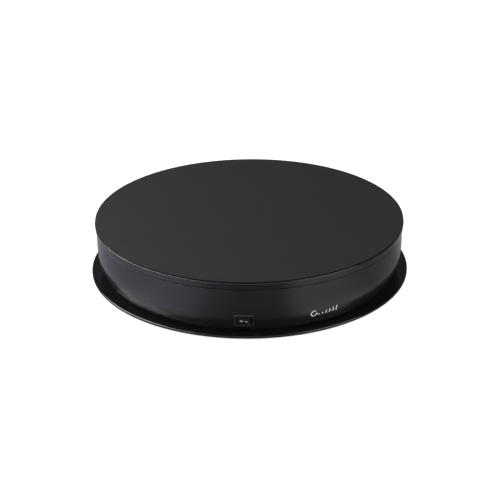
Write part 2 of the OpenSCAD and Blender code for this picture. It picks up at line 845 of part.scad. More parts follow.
module black_wires() {
    color([0.05, 0.05, 0.05]) {
        wire([[64, 31.6, 9], [60, 42, 6], [44, 58, 5], [26, 74, 8], [19, 84, 11.6],
            [18, 91, 12.5], [18, 96.9, 12.5]]);
        wire([[shaft_x, 1, 5.4], [-42, 14, 5], [-40, 36, 5], [-30, 62, 6], [-16, 77, 10],
            [-6, 81.5, 10.8], [-2, 86, 9.95], [-2, 89.9, 9.95]]);
    }
}

base_plate();
rubber_feet();
base_screws();
drum_housing();
lower_race();
centre_spindle();
thrust_washer();
retaining_washer();
retaining_screw();
gearbox_case();
gearbox_cover();
motor_can();
motor_terminals();
motor_screws();
gear_pin();
gear_clip();
switch_housing();
switch_terminals();
power_inlet();
inlet_pin();
circuit_board();
board_capacitor();
board_regulator();
board_screws();
battery_box();
battery_box_screws();
battery_cells();
battery_springs();
battery_contacts();
door_hinge_pin();
red_wires();
black_wires();
top_panel();
platter_carrier();
ring_gear();
ring_gear_screws();
upper_race();
hub_bush();
ball_cage();
bearing_balls();
compound_gear();
motor_pinion();
output_shaft();
switch_rocker();
rocker_marks();
battery_door();
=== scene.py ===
import json
import math

import bmesh
import bpy
from mathutils import Matrix, Vector


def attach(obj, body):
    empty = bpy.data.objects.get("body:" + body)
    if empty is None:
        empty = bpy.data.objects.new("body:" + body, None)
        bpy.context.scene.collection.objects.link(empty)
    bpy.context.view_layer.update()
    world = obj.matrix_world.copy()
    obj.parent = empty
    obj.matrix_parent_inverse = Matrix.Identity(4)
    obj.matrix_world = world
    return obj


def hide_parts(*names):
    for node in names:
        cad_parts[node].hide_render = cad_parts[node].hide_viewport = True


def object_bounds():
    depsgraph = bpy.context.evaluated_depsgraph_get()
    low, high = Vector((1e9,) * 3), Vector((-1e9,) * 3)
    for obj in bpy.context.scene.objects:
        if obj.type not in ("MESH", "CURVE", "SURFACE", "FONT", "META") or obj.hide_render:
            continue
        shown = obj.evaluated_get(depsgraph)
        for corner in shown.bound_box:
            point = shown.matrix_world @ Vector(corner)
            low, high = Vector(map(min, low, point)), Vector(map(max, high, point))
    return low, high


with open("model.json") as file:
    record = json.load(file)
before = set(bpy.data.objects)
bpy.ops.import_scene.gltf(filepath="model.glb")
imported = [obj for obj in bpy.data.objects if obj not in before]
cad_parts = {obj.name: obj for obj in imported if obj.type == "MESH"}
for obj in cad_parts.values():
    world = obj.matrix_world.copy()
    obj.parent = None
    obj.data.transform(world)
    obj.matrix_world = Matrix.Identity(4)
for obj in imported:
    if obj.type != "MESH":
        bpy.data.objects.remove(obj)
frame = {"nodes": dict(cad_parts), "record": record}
cad_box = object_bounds()

MM = 0.001
TOP_Z = cad_box[1].z

# ---------------------------------------------------------------- camera

CAMERA_AZIMUTH = math.radians(2.0)
CAMERA_ELEVATION = math.radians(25.04)
CAMERA_ROLL = math.radians(0.48)
CAMERA_DISTANCE = 1.0334
CAMERA_RISE = 0.02934
CAMERA_SIDE = -0.0007
CAMERA_LENS = 91.5
CAMERA_SENSOR = 36
CAMERA_NEAR = 0.01


def make_camera():
    """Long lens from the front, a little above; the platter sits above the middle of the frame."""
    ca, sa = math.cos(CAMERA_AZIMUTH), math.sin(CAMERA_AZIMUTH)
    ce, se = math.cos(CAMERA_ELEVATION), math.sin(CAMERA_ELEVATION)
    right = Vector((ca, sa, 0))
    forward = Vector((-sa * ce, ca * ce, -se))
    up = right.cross(forward)
    cr, sr = math.cos(CAMERA_ROLL), math.sin(CAMERA_ROLL)
    tilted_right = cr * right - sr * up
    tilted_up = sr * right + cr * up
    data = bpy.data.cameras.new("camera")
    data.lens = CAMERA_LENS
    data.sensor_width = CAMERA_SENSOR
    data.clip_start = CAMERA_NEAR
    camera = bpy.data.objects.new("camera", data)
    bpy.context.scene.collection.objects.link(camera)
    place = (Vector((0, 0, TOP_Z)) - CAMERA_SIDE * tilted_right - CAMERA_RISE * tilted_up
             - CAMERA_DISTANCE * forward)
    turn = Matrix((tilted_right, tilted_up, -forward)).transposed()
    camera.matrix_world = Matrix.Translation(place) @ turn.to_4x4()
    bpy.context.scene.camera = camera


make_camera()

# ---------------------------------------------------------------- node helpers


class Nodes:
    """Builds a material's node tree with short calls."""

    def __init__(self, tree):
        self.tree = tree
        tree.nodes.clear()

    def add(self, kind, inputs=None, **settings):
        node = self.tree.nodes.new(kind)
        for key, value in settings.items():
            setattr(node, key, value)
        for key, value in (inputs or {}).items():
            socket = node.inputs[key]
            if isinstance(value, bpy.types.NodeSocket):
                self.tree.links.new(value, socket)
            else:
                socket.default_value = value
        return node

    def math(self, operation, a, b=0.0):
        return self.add("ShaderNodeMath", {0: a, 1: b}, operation=operation).outputs[0]

    def noise(self, place, scale, detail):
        return self.add("ShaderNodeTexNoise", {"Vector": place, "Scale": scale, "Detail": detail}).outputs[0]

    def spread(self, value, low, high, to_low=0.0, to_high=1.0):
        """Maps low..high to to_low..to_high."""
        ends = {"From Min": low, "From Max": high, "To Min": to_low, "To Max": to_high}
        return self.add("ShaderNodeMapRange", {"Value": value, **ends}).outputs[0]

    def mix(self, factor, a, b):
        node = self.add("ShaderNodeMix", data_type="RGBA")
        for index, value in ((0, factor), (6, a), (7, b)):
            if isinstance(value, bpy.types.NodeSocket):
                self.tree.links.new(value, node.inputs[index])
            else:
                node.inputs[index].default_value = value
        return node.outputs[2]


def rgb(r, g=None, b=None):
    """Opaque colour; a single value gives a grey."""
    return (r, r if g is None else g, r if b is None else b, 1.0)


# ---------------------------------------------------------------- stage and light

FLOOR_SIZE = 12.0
WORLD_GREY = 0.09
# How brightly gloss sees the floor, by bearing: 0 is left of the stand, 0.5 straight ahead, 1 right
FLOOR_GLOW = [(0.0, 0.38), (0.06, 0.48), (0.15, 0.78), (0.28, 0.64), (0.37, 0.22), (0.5, 0.08), (0.64, 0.13),
              (0.72, 0.66), (0.86, 0.55), (0.95, 0.23), (1.0, 0.23)]
# Cool tint of that light to the left of the split and to the right of it
GLOW_TINT = ((0.95, 0.95, 1.10), (1.0, 1.0, 1.04))
GLOW_TINT_SPLIT = 0.4
GLOW_BEHIND = 0.5
# Even light beneath the stand, which gives way to the light by bearing between two distances
GLOW_UNDER = 0.45
GLOW_UNDER_EDGE = (0.124, 0.130)
# What the camera sees of the floor: a grey that takes shadow, and a lift to white
FLOOR_GREY, FLOOR_LIFT = 0.30, 0.90
# Name, place, height of the point aimed at, size, watts
SOFTBOXES = [
    ("overhead", (0.0, -0.1, 1.6), 0.0, (1.6, 1.6), 2.3),
    ("left_side", (-0.77, -0.36, 0.85), 0.03, (0.9, 0.40), 12),
    ("right_side", (0.77, -0.36, 0.85), 0.03, (0.9, 0.40), 9),
    ("front_low", (0.0, -1.1, 0.16), 0.02, (1.2, 0.3), 4),
    ("left_near", (-0.6, 0.15, 0.5), 0.04, (0.4, 0.6), 9),
]


def floor_glow(n, place):
    """Colour of the floor's light at a place: by bearing around the stand, and even beneath it."""
    flat = n.add("ShaderNodeVectorMath", {0: place, 1: (1.0, 1.0, 0.0)}, operation="MULTIPLY").outputs[0]
    bearing = n.add("ShaderNodeVectorMath", {0: flat}, operation="NORMALIZE").outputs[0]
    parts = n.add("ShaderNodeSeparateXYZ", {0: bearing})
    across = n.math("MULTIPLY_ADD", parts.outputs["X"], 0.5)
    across.node.inputs[2].default_value = 0.5
    ramp = n.add("ShaderNodeValToRGB", {0: across})
    stops = ramp.color_ramp.elements
    while len(stops) < len(FLOOR_GLOW):
        stops.new(0.5)
    for stop, (position, value) in zip(stops, FLOOR_GLOW):
        tint = GLOW_TINT[position > GLOW_TINT_SPLIT]
        stop.position = position
        stop.color = rgb(*[value * part for part in tint])
    behind = n.spread(parts.outputs["Y"], 0.0, 0.5)
    reach = n.add("ShaderNodeVectorMath", {0: flat}, operation="LENGTH").outputs["Value"]
    outside = n.spread(reach, *GLOW_UNDER_EDGE)
    round_about = n.mix(behind, ramp.outputs[0], rgb(GLOW_BEHIND))
    return n.mix(outside, rgb(GLOW_UNDER), round_about)


def floor_material():
    """White to the camera from above, soft greys to the gloss, and clear from below."""
    material = bpy.data.materials.new("studio_floor")
    material.use_nodes = True
    n = Nodes(material.node_tree)
    path = n.add("ShaderNodeLightPath")
    seen = n.add("ShaderNodeAddShader", {
        0: n.add("ShaderNodeBsdfDiffuse", {"Color": rgb(FLOOR_GREY)}).outputs[0],
        1: n.add("ShaderNodeEmission", {"Color": rgb(1.0), "Strength": FLOOR_LIFT}).outputs[0]})
    place = n.add("ShaderNodeTexCoord").outputs["Object"]
    glow = n.add("ShaderNodeEmission", {"Color": floor_glow(n, place)}).outputs[0]
    lit = n.add("ShaderNodeMixShader", {0: path.outputs["Is Camera Ray"], 1: glow, 2: seen.outputs[0]})
    under = n.add("ShaderNodeNewGeometry").outputs["Backfacing"]
    clear = n.add("ShaderNodeBsdfTransparent").outputs[0]
    both = n.add("ShaderNodeMixShader", {0: under, 1: lit.outputs[0], 2: clear})
    n.add("ShaderNodeOutputMaterial", {0: both.outputs[0]})
    return material


def make_floor():
    mesh = bpy.data.meshes.new("studio_floor")
    half = FLOOR_SIZE / 2
    mesh.from_pydata([(-half, -half, 0), (half, -half, 0), (half, half, 0), (-half, half, 0)],
                     [], [(0, 1, 2, 3)])
    floor = bpy.data.objects.new("studio_floor", mesh)
    bpy.context.scene.collection.objects.link(floor)
    mesh.materials.append(floor_material())


def make_world():
    """Dim grey all round for light and gloss, white to the camera."""
    world = bpy.data.worlds.new("studio")
    bpy.context.scene.world = world
    world.use_nodes = True
    n = Nodes(world.node_tree)
    path = n.add("ShaderNodeLightPath")
    dim = n.add("ShaderNodeBackground", {"Color": rgb(1.0), "Strength": WORLD_GREY}).outputs[0]
    white = n.add("ShaderNodeBackground", {"Color": rgb(1.0), "Strength": 1.0}).outputs[0]
    both = n.add("ShaderNodeMixShader", {0: path.outputs["Is Camera Ray"], 1: dim, 2: white})
    n.add("ShaderNodeOutputWorld", {0: both.outputs[0]})


def softbox(name, place, aim_z, size, watts):
    """Rectangular area light at a place, aimed at a height on the stand's axis."""
    data = bpy.data.lights.new(name, "AREA")
    data.shape = "RECTANGLE"
    data.size, data.size_y = size
    data.energy = watts
    light = bpy.data.objects.new(name, data)
    light.location = place
    light.rotation_mode = "QUATERNION"
    light.rotation_quaternion = (Vector((0, 0, aim_z)) - Vector(place)).to_track_quat("-Z", "Y")
    bpy.context.scene.collection.objects.link(light)


def make_light():
    bpy.context.scene.view_settings.view_transform = "Standard"
    make_world()
    make_floor()
    for box in SOFTBOXES:
        softbox(*box)


make_light()

# ---------------------------------------------------------------- materials

MOTTLE_SCALE = 40.0
NOISE_RANGE = (0.3, 0.7)
METAL_GRAIN_SCALE = 900.0
METAL_GRAIN, METAL_GRAIN_STRENGTH = 0.00001, 0.6
METAL_GLOSS_SWING = 0.2


def plastic(name, colour, roughness, grain=0.00001, grain_scale=900, mottle=0.1, streak=1.0,
            specular=0.5, gloss_swing=0.08):
    """Moulded plastic: slight mottle in colour and gloss, drawn out sideways by streak, and a fine grain."""
    material = bpy.data.materials.new(name)
    material.use_nodes = True
    n = Nodes(material.node_tree)
    place = n.add("ShaderNodeTexCoord").outputs["Object"]
    drawn = n.add("ShaderNodeMapping", {"Vector": place, "Scale": (1.0, 1.0, streak)}).outputs[0]
    cloud = n.noise(drawn, MOTTLE_SCALE, 3.0)
    fine = n.noise(place, grain_scale, 2.0)
    dark = rgb(*[c * (1 - mottle) for c in colour])
    light = rgb(*[c * (1 + mottle) for c in colour])
    gloss = n.spread(cloud, *NOISE_RANGE, roughness * (1 - gloss_swing), roughness * (1 + gloss_swing))
    bump = n.add("ShaderNodeBump", {"Height": fine, "Distance": grain, "Strength": 1.0}).outputs[0]
    shader = n.add("ShaderNodeBsdfPrincipled", {
        "Base Color": n.mix(cloud, dark, light), "Roughness": gloss, "Normal": bump,
        "Specular IOR Level": specular})
    n.add("ShaderNodeOutputMaterial", {0: shader.outputs[0]})
    return material


def metal(name, colour, roughness):
    """Bare metal with a fine unevenness in gloss and surface."""
    material = bpy.data.materials.new(name)
    material.use_nodes = True
    n = Nodes(material.node_tree)
    place = n.add("ShaderNodeTexCoord").outputs["Object"]
    fine = n.noise(place, METAL_GRAIN_SCALE, 3.0)
    gloss = n.spread(fine, *NOISE_RANGE, roughness * (1 - METAL_GLOSS_SWING),
                     roughness * (1 + METAL_GLOSS_SWING))
    bump = n.add("ShaderNodeBump", {
        "Height": fine, "Distance": METAL_GRAIN, "Strength": METAL_GRAIN_STRENGTH}).outputs[0]
    shader = n.add("ShaderNodeBsdfPrincipled", {
        "Base Color": rgb(*colour), "Metallic": 1.0, "Roughness": gloss, "Normal": bump})
    n.add("ShaderNodeOutputMaterial", {0: shader.outputs[0]})
    return material


MATERIALS = {  # name, colour, roughness, then for plastics grain height, grain scale, mottle and streak
    "plate_gloss": plastic("plate_gloss", (0.003, 0.003, 0.0035), 0.06, 0.000001, 500),
    "drum_black": plastic("drum_black", (0.013, 0.013, 0.015), 0.22, 0.000001, 700, 0.12, 14),
    "carrier_black": plastic("carrier_black", (0.012, 0.012, 0.014), 0.20, 0.000001, 700, 0.12, 14),
    "panel_black": plastic("panel_black", (0.0088, 0.0084, 0.0085), 0.45, 0.00001, 1500, 0.02,
                           gloss_swing=0.02),
    # Painted shade: the panel's side faces are made darker and nearly without gloss so that they read as the
    # dark line of the seam below the top.
    "panel_edge_shade": plastic("panel_edge_shade", (0.003, 0.003, 0.003), 0.6, 0.00001, 1500, specular=0.1),
    "foot_rubber": plastic("foot_rubber", (0.02, 0.02, 0.02), 0.75, 0.00003, 900),
    "screw_steel": metal("screw_steel", (0.55, 0.55, 0.57), 0.3),
    "race_steel": metal("race_steel", (0.6, 0.61, 0.63), 0.22),
    "ball_steel": metal("ball_steel", (0.75, 0.76, 0.78), 0.08),
    "shaft_steel": metal("shaft_steel", (0.62, 0.62, 0.64), 0.25),
    "brass": metal("brass", (0.78, 0.58, 0.27), 0.28),
    "gear_nylon": plastic("gear_nylon", (0.62, 0.59, 0.5), 0.45, 0.00001, 700),
    "motor_steel": metal("motor_steel", (0.6, 0.61, 0.62), 0.35),
    "switch_black": plastic("switch_black", (0.022, 0.022, 0.024), 0.30, 0.000008, 1500),
    "rocker_black": plastic("rocker_black", (0.008, 0.008, 0.009), 0.25, 0.000004, 900),
    "mark_white": plastic("mark_white", (0.6, 0.6, 0.62), 0.5, 0.000004, 1500),
    "print_white": plastic("print_white", (0.85, 0.86, 0.88), 0.5, 0.000002, 1500, 0.04),
    "inlet_black": plastic("inlet_black", (0.012, 0.012, 0.012), 0.4, 0.000008, 1500),
    "board_green": plastic("board_green", (0.015, 0.11, 0.045), 0.3),
    "component_black": plastic("component_black", (0.015, 0.015, 0.015), 0.5),
    "capacitor_sleeve": plastic("capacitor_sleeve", (0.02, 0.03, 0.12), 0.3),
    "box_black": plastic("box_black", (0.012, 0.012, 0.013), 0.5),
    "cell_wrap": plastic("cell_wrap", (0.08, 0.09, 0.12), 0.25),
    "spring_steel": metal("spring_steel", (0.7, 0.71, 0.73), 0.2),
    "wire_red": plastic("wire_red", (0.35, 0.012, 0.01), 0.45),
    "wire_black": plastic("wire_black", (0.01, 0.01, 0.01), 0.45),
}
SLOTS = {s["node"]: s["material_slot"] for s in frame["record"]["subparts"]}
BODY_NODES = frame["record"]["behaviour"]["bodies"]
BODIES = {node: body for body, nodes in BODY_NODES.items() for node in nodes}

# ---------------------------------------------------------------- mesh helpers, in millimetres


def rounded(corners, radii, steps=4):
    """Closed outline with each corner rounded by its own radius."""
    outline = []
    for i, (corner, radius) in enumerate(zip(corners, radii)):
        here = Vector(corner)
        if radius == 0:
            outline.append(tuple(here))
            continue
        back = Vector(corners[i - 1]) - here
        ahead = Vector(corners[(i + 1) % len(corners)]) - here
        half = back.angle(ahead) / 2
        cut = radius / math.tan(half)
        centre = here + (back.normalized() + ahead.normalized()).normalized() * radius / math.sin(half)
        start = here + back.normalized() * cut - centre
        end = here + ahead.normalized() * cut - centre
        sweep = start.angle_signed(end)
        for k in range(steps + 1):
            turn = Matrix.Rotation(-sweep * k / steps, 2)
            outline.append(tuple(centre + turn @ start))
    return outline


ON_AXIS = 1e-6


def revolve(bm, profile, segments=48, place=Matrix()):
    """Adds a closed (radius, height) outline turned about Z."""
    rings = []
    for r, z in profile:
        if r < ON_AXIS:
            rings.append([bm.verts.new(place @ Vector((0, 0, z)))])
        else:
            turns = [math.tau * k / segments for k in range(segments)]
            rings.append([bm.verts.new(place @ Vector((r * math.cos(a), r * math.sin(a), z)))
                          for a in turns])
    for a, b in zip(rings, rings[1:] + rings[:1]):
        for k in range(segments):
            corners = [a[k % len(a)], a[(k + 1) % len(a)], b[(k + 1) % len(b)], b[k % len(b)]]
            corners = list(dict.fromkeys(corners))
            if len(corners) > 2:
                bm.faces.new(corners)


def skin(bm, rings, place=Matrix()):
    """Adds a closed skin through rings of equal length, with flat ends."""
    made = [[bm.verts.new(place @ Vector(p)) for p in ring] for ring in rings]
    count = len(made[0])
    for a, b in zip(made, made[1:]):
        for k in range(count):
            bm.faces.new((a[k], a[(k + 1) % count], b[(k + 1) % count], b[k]))
    bm.faces.new(made[0][::-1])
    bm.faces.new(made[-1])


def slab(bm, sections, place=Matrix(), steps=5):
    """Adds a skin through rounded rectangles (width, height, corner radius, z)."""
    rings = []
    for width, height, corner, z in sections:
        ring = []
        for quarter, (sx, sy) in enumerate(((1, 1), (-1, 1), (-1, -1), (1, -1))):
            for k in range(steps + 1):
                a = math.pi / 2 * (quarter + k / steps)
                ring.append((sx * (width / 2 - corner) + corner * math.cos(a),
                             sy * (height / 2 - corner) + corner * math.sin(a), z))
        rings.append(ring)
    skin(bm, rings, place)


def soft_block(bm, low, high, edge, place=Matrix(), steps=2):
    """Adds a block from corner low to corner high with rounded edges."""
    size = [h - l for l, h in zip(low, high)]
    middle = Matrix.Translation([(l + h) / 2 for l, h in zip(low, high)])
    least_corner = 0.02
    sections = []
    for side in (-1, 1):
        for k in range(steps + 1):
            a = math.pi / 2 * (k / steps if side < 0 else 1 - k / steps)
            inset = edge * (1 - math.sin(a))
            rise = size[2] / 2 - edge * (1 - math.cos(a))
            sections.append((size[0] - 2 * inset, size[1] - 2 * inset, edge * math.sin(a) + least_corner,
                             side * rise))
    slab(bm, sections, place @ middle, 3)


def sweep(bm, path, radius, sides=12):
    """Adds a round tube along a list of points."""
    path = [Vector(p) for p in path]
    turns = [math.tau * k / sides for k in range(sides)]
    side = None
    rings = []
    for i, p in enumerate(path):
        along = (path[min(i + 1, len(path) - 1)] - path[max(i - 1, 0)]).normalized()
        side = side or along.orthogonal()
        side = (side - along * side.dot(along)).normalized()
        other = along.cross(side)
        rings.append([p + radius * (math.cos(a) * side + math.sin(a) * other) for a in turns])
    skin(bm, rings)


def smooth_path(points, steps):
    """Catmull-Rom curve through points."""
    points = [Vector(p) for p in points]
    path = []
    for i in range(len(points) - 1):
        a, b, c, d = (points[max(0, min(len(points) - 1, i + k))] for k in (-1, 0, 1, 2))
        for k in range(steps):
            t = k / steps
            path.append(0.5 * (2 * b + (c - a) * t + (2 * a - 5 * b + 4 * c - d) * t ** 2
                               + (3 * b - a - 3 * c + d) * t ** 3))
    return path + [points[-1]]


def around(count, radius, start=0.0):
    """Places on a circle about Z, turned to face outwards."""
    return [Matrix.Rotation(math.radians(start) + math.tau * i / count, 4, "Z")
            @ Matrix.Translation((radius, 0, 0)) for i in range(count)]


def at(x, y, z=0.0):
    return Matrix.Translation((x, y, z))


def temporary(bm):
    """Object that holds a mesh for one boolean; the mesh is used up."""
    bmesh.ops.recalc_face_normals(bm, faces=bm.faces)
    mesh = bpy.data.meshes.new("temporary")
    bm.to_mesh(mesh)
    bm.free()
    obj = bpy.data.objects.new("temporary", mesh)
    bpy.context.scene.collection.objects.link(obj)
    return obj


WELD = 0.0005


def clean(bm):
    """Removes doubled points, faces of no width and loose leftovers."""
    bmesh.ops.remove_doubles(bm, verts=bm.verts, dist=WELD)
    bmesh.ops.dissolve_degenerate(bm, edges=bm.edges, dist=WELD)
    bmesh.ops.delete(bm, geom=[e for e in bm.edges if not e.link_faces], context="EDGES")
    bmesh.ops.delete(bm, geom=[v for v in bm.verts if not v.link_faces], context="VERTS")


def combined(bm, other, operation):
    """Boolean of two closed meshes; both are used up."""
    body, tool = temporary(bm), temporary(other)
    step = body.modifiers.new("boolean", "BOOLEAN")
    step.object = tool
    step.operation = operation
    step.solver = "EXACT"
    result = bmesh.new()
    result.from_mesh(body.evaluated_get(bpy.context.evaluated_depsgraph_get()).to_mesh())
    clean(result)
    for obj in (body, tool):
        mesh = obj.data
        bpy.data.objects.remove(obj)
        bpy.data.meshes.remove(mesh)
    return result


def cut(bm, tool):
    return combined(bm, tool, "DIFFERENCE")


def join(bm, tool):
    return combined(bm, tool, "UNION")


def bevel_sharp(bm, width, segments=2, sharper_than=35):
    """Rounds every edge sharper than an angle."""
    edges = [e for e in bm.edges if e.is_manifold and e.calc_face_angle() > math.radians(sharper_than)]
    bmesh.ops.bevel(bm, geom=edges, offset=width, segments=segments, profile=0.5, affect="EDGES",
                    clamp_overlap=False)


def piece(name, bm, *nodes, slot=None, look=None, body=None, smooth=40):
    """Makes the mesh a piece that stands for CAD nodes, if any, and rides on their body."""
    bmesh.ops.recalc_face_normals(bm, faces=bm.faces)
    bm.transform(Matrix.Scale(MM, 4))
    mesh = bpy.data.meshes.new(name)
    bm.to_mesh(mesh)
    bm.free()
    mesh.shade_smooth()
    mesh.set_sharp_from_angle(angle=math.radians(smooth))
    obj = bpy.data.objects.new(name, mesh)
    bpy.context.scene.collection.objects.link(obj)
    slot = slot or SLOTS[nodes[0]]
    mesh.materials.append(MATERIALS[look or slot])
    obj.modifiers.new("normals", "WEIGHTED_NORMAL").keep_sharp = True
    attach(obj, body or BODIES[nodes[0]])
    if nodes:
        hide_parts(*nodes)
    return obj


MESH_WELD = 0.002
FLAT_WITHIN = math.radians(0.4)


def refine(node, width, segments=2):
    """Copy of a CAD node with its flat faces made whole and its edges rounded."""
    bm = bmesh.new()
    bm.from_mesh(frame["nodes"][node].data)
    bm.transform(Matrix.Scale(1 / MM, 4))
    bmesh.ops.remove_doubles(bm, verts=bm.verts, dist=MESH_WELD)
    bmesh.ops.dissolve_limit(bm, angle_limit=FLAT_WITHIN, verts=bm.verts, edges=bm.edges)
    bevel_sharp(bm, width, segments)
    clean(bm)
    piece("fine_" + node, bm, node, smooth=50)


# ---------------------------------------------------------------- sizes of the stand, in millimetres
# A name ending in _R is a radius, _Z a lower face and _TOP an upper face. The number after a turned
# outline is its count of sides. Points along a flat face only keep its quads short.

LATHE = 384
PLATE_Z, PLATE_TOP = 1.8, 3.8
FLANGE_R = 129.4
DECK_Z, DECK_TOP = 33.0, 35.5
DRUM_R, DRUM_TOP = 124.0, 39.1
WALL_T = 2.6
BOW_R, BOW_Z = 45.0, 26.0
SKIRT_R, SKIRT_Z = 125.0, 39.6
CARRIER_Z, PANEL_Z, TOP = 42.5, 44.8, 46.0
PANEL_R = 124.7
BALL_CIRCLE_R, BALL_R, BALL_COUNT, BALL_Z = 90.0, 2.5, 24, 39.0
RIB_HALF_T = 0.8
SUNK = 0.1  # how far a rib or post runs into the face that it stands on
SCREW_CIRCLE_R, SCREW_HOLE_R, BOSS_TOP, BASE_SCREW_Z = 104.0, 1.4, 6.8, 4.8
FOOT_CIRCLE_R, FOOT_R, FOOT_TOP = 111.0, 7.0, 2.6
SHAFT_X, GEARBOX_Y = -39.0, -7.0
MOTOR_SCREW_R, MOTOR_SCREW_Z, MOTOR_SCREW_ANGLES = 15.5, 34.2, (0, 180, 270)
BOARD_SCREWS = [(-18, 88), (18, 88), (-18, 111), (18, 111)]
BOX_SCREWS = [(42, 33.9), (42, -33.9), (82, 33.9), (82, -33.9)]
INLET_Z, NOSE_Y = 15.5, 122.558
DOOR_X, DOOR_HALF_W = (30.0, 91.7), 29.4
NOTCH_R, NOTCH_TOP = 8.0, 2.7
SWITCH_BODY, SWITCH_PAD = (13.4, 9), (19, 14.5)
SWITCH = at(0, -121.429, 13.85) @ Matrix.Rotation(math.radians(104), 4, "X")
ROCKER = SWITCH @ at(0, 0, 0.3) @ Matrix.Rotation(math.radians(-10), 4, "Y")
ALONG_Y = Matrix.Rotation(math.radians(-90), 4, "X")

# ---------------------------------------------------------------- platter


def make_top_panel():
    """Flat disc; its side faces take a darker, less glossy material that is painted shade, standing in for
    the dark line of the seam under the panel's edge.
    """
    shade_band = 0.19
    bm = bmesh.new()
    corners = [(0, PANEL_Z), (PANEL_R, PANEL_Z), (PANEL_R, TOP), (123.5, TOP), (110, TOP), (60, TOP),
               (0, TOP)]
    revolve(bm, rounded(corners, [0, 0.15, 0.2, 0, 0, 0, 0]), LATHE)
    panel = piece("fine_top_panel", bm, "top_panel")
    panel.data.materials.append(MATERIALS["panel_edge_shade"])
    # Faces in this band at the rim take the painted shade material.
    for face in panel.data.polygons:
        if face.center.xy.length > (PANEL_R - shade_band) * MM:
            face.material_index = 1


def make_carrier():
    """Skirt outside, a lip that runs inside the drum's rim, a hub with its bore and socket, and ribs."""
    skirt_foot_r, skirt_in_r = 124.4, 122.8
    lip_out_r, lip_in_r, lip_z = 120.4, 118.4, 36.2
    hub_r, bore_r, hub_z = 11.0, 6.5, 37.9
    socket_r, socket_z = 8.6, 41.1
    bm = bmesh.new()
    corners = [(socket_r, PANEL_Z), (60, PANEL_Z), (123, PANEL_Z), (SKIRT_R, PANEL_Z),
               (skirt_foot_r, SKIRT_Z), (skirt_in_r, SKIRT_Z), (skirt_in_r, CARRIER_Z),
               (lip_out_r, CARRIER_Z), (lip_out_r, lip_z), (lip_in_r, lip_z), (lip_in_r, CARRIER_Z),
               (hub_r, CARRIER_Z), (hub_r, hub_z), (bore_r, hub_z), (bore_r, socket_z),
               (socket_r, socket_z)]
    radii = [0, 0, 0, 0.55, 0.12, 0.2, 0.5, 0.3, 0.3, 0.3, 0.5, 0.5, 0.3, 0, 0, 0]
    revolve(bm, rounded(corners, radii, 6), LATHE)
    rib_top = CARRIER_Z + SUNK
    for place in around(24, 0):
        soft_block(bm, (96.5, -RIB_HALF_T, 39.9), (119.0, RIB_HALF_T, rib_top), 0.25, place)
    for place in around(12, 0):
        soft_block(bm, (10.5, -RIB_HALF_T, 40.8), (48, RIB_HALF_T, rib_top), 0.25, place)
    piece("fine_platter_carrier", bm, "platter_carrier")


# ---------------------------------------------------------------- drum and base


def wall_radius(z, inset=0.0):
    """Radius of the drum's bowed wall at height z."""
    if z >= BOW_Z:
        return DRUM_R - inset
    return DRUM_R - BOW_R + math.sqrt((BOW_R - inset) ** 2 - (BOW_Z - z) ** 2)


def flared(bm, radius, bottom, top, place, flare=0.25, step=None):
    """Adds a round cutter that opens out through the face at bottom; step is a narrower hole above it."""
    outline = [(0, bottom - 1), (radius + flare + 1, bottom - 1), (radius, bottom + flare), (radius, top)]
    if step:
        outline += [(step[0], top), (step[0], step[1]), (0, step[1])]
    else:
        outline += [(0, top)]
    revolve(bm, outline, 64, place)


def drum_wall():
    """Bowed wall, rim with its ledge at the seam, and deck with the spindle's boss, in one outline."""
    inner_r = DRUM_R - WALL_T
    boss_r, boss_bore_r, boss_z, boss_top = 11.0, 4.0, 27.0, 37.2
    rim_step, seam_cut = 1.0, 0.3
    ledge = DRUM_TOP - seam_cut
    wall_steps = 16
    rise = [PLATE_TOP + (BOW_Z - PLATE_TOP) * k / wall_steps for k in range(wall_steps + 1)]
    outside = [(wall_radius(z), z) for z in rise] + [(DRUM_R, 30.0), (DRUM_R, 35.0)]
    rim = rounded([(DRUM_R, 35.0), (DRUM_R, ledge), (DRUM_R - rim_step, ledge),
                   (DRUM_R - rim_step, DRUM_TOP), (inner_r, DRUM_TOP), (inner_r, 36.0)],
                  [0, 0.2, 0, 0.1, 0.3, 0])[1:]
    deck = [(inner_r, DECK_TOP), (96, DECK_TOP), (50, DECK_TOP), (boss_r, DECK_TOP), (boss_r, boss_top),
            (boss_bore_r, boss_top), (boss_bore_r, boss_z), (boss_r, boss_z), (boss_r, DECK_Z),
            (50, DECK_Z), (96, DECK_Z), (inner_r, DECK_Z)]
    inside = [(wall_radius(z, WALL_T), z) for z in reversed(rise)]
    bm = bmesh.new()
    revolve(bm, outside + rim + deck + inside, LATHE)
    return bm


def drum_holes():
    """Openings for the switch, the inlet, the motor's shaft and its screws."""
    inlet_hole_r, shaft_hole_r, head_hole_r = 4.7, 5.0, 2.9
    width, height = SWITCH_BODY
    seat_w, seat_h = 15.8, 11.3
    holes = bmesh.new()
    slab(holes, [(width, height, 0.3, -9), (width, height, 0.3, -0.01), (seat_w, seat_h, 1.4, -0.01),
                 (seat_w, seat_h, 1.4, 9)], SWITCH)
    revolve(holes, [(0, 112), (inlet_hole_r, 112), (inlet_hole_r, 127), (0, 127)], 64,
            at(0, 0, INLET_Z) @ ALONG_Y)
    revolve(holes, [(0, 31), (shaft_hole_r, 31), (shaft_hole_r, 37), (0, 37)], 48, at(SHAFT_X, 0))
    for place in motor_screw_places():
        revolve(holes, [(0, 31), (SCREW_HOLE_R, 31), (SCREW_HOLE_R, MOTOR_SCREW_Z),
                        (head_hole_r, MOTOR_SCREW_Z), (head_hole_r, 37), (0, 37)], 32, place)
    return holes


